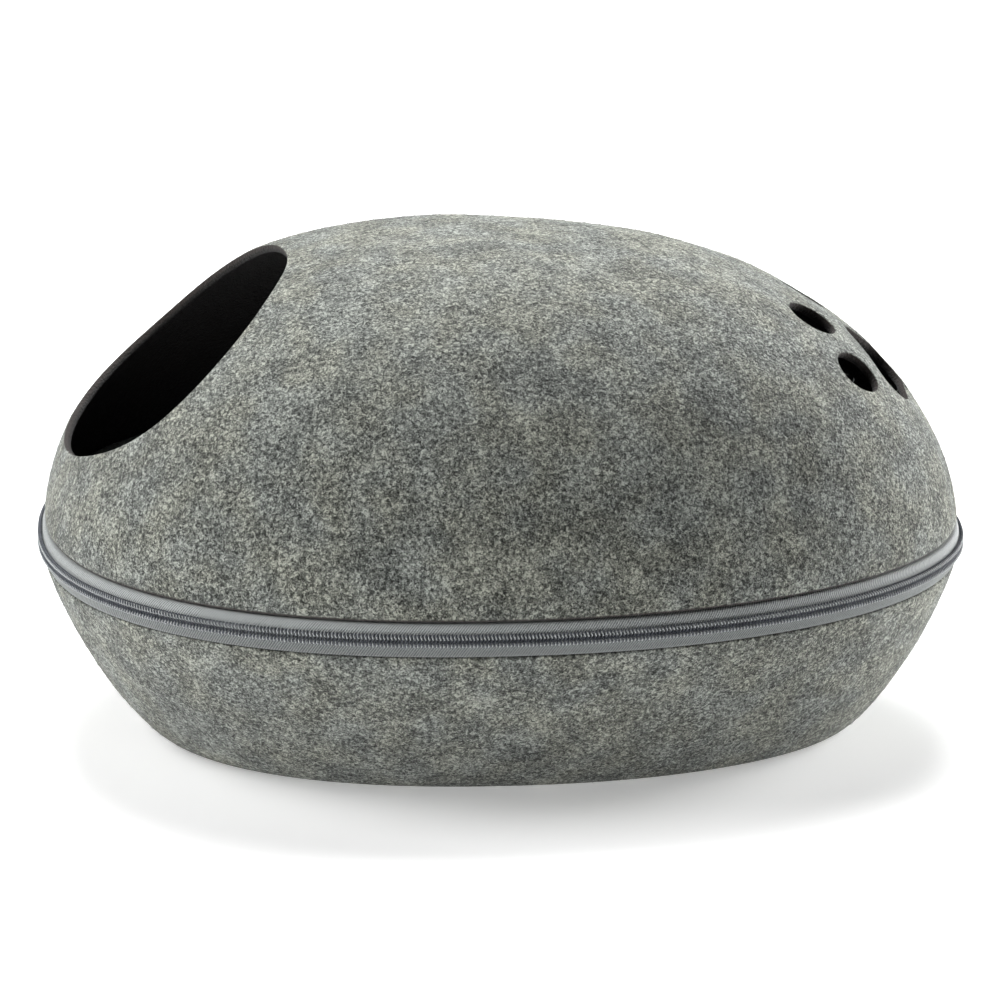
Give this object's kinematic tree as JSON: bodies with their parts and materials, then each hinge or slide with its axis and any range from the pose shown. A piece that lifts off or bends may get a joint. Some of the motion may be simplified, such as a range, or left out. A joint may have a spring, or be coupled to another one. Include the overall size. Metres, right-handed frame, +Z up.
{
  "type": "felt cat cave",
  "caption": "Egg-shaped felt cat cave of two moulded shells joined all round by a coil zip, with a large oval entrance and a paw-shaped vent.",
  "frame": {"origin": "middle of the footprint, on the floor", "axes": "+Z up, -X towards the entrance, +X towards the paw-shaped vent"},
  "size_m": [0.47, 0.383, 0.2498],
  "materials": {
    "moulded_felt": "heathered grey needle felt, moulded",
    "woven_tape": "woven polyester zip tape",
    "nylon_coil": "nylon monofilament coil"
  },
  "bodies": {
    "root": {"upper_shell": "moulded_felt", "lower_shell": "moulded_felt", "upper_tape": "woven_tape", "lower_tape": "woven_tape", "upper_coil": "nylon_coil", "lower_coil": "nylon_coil"}
  },
  "joints": []
}
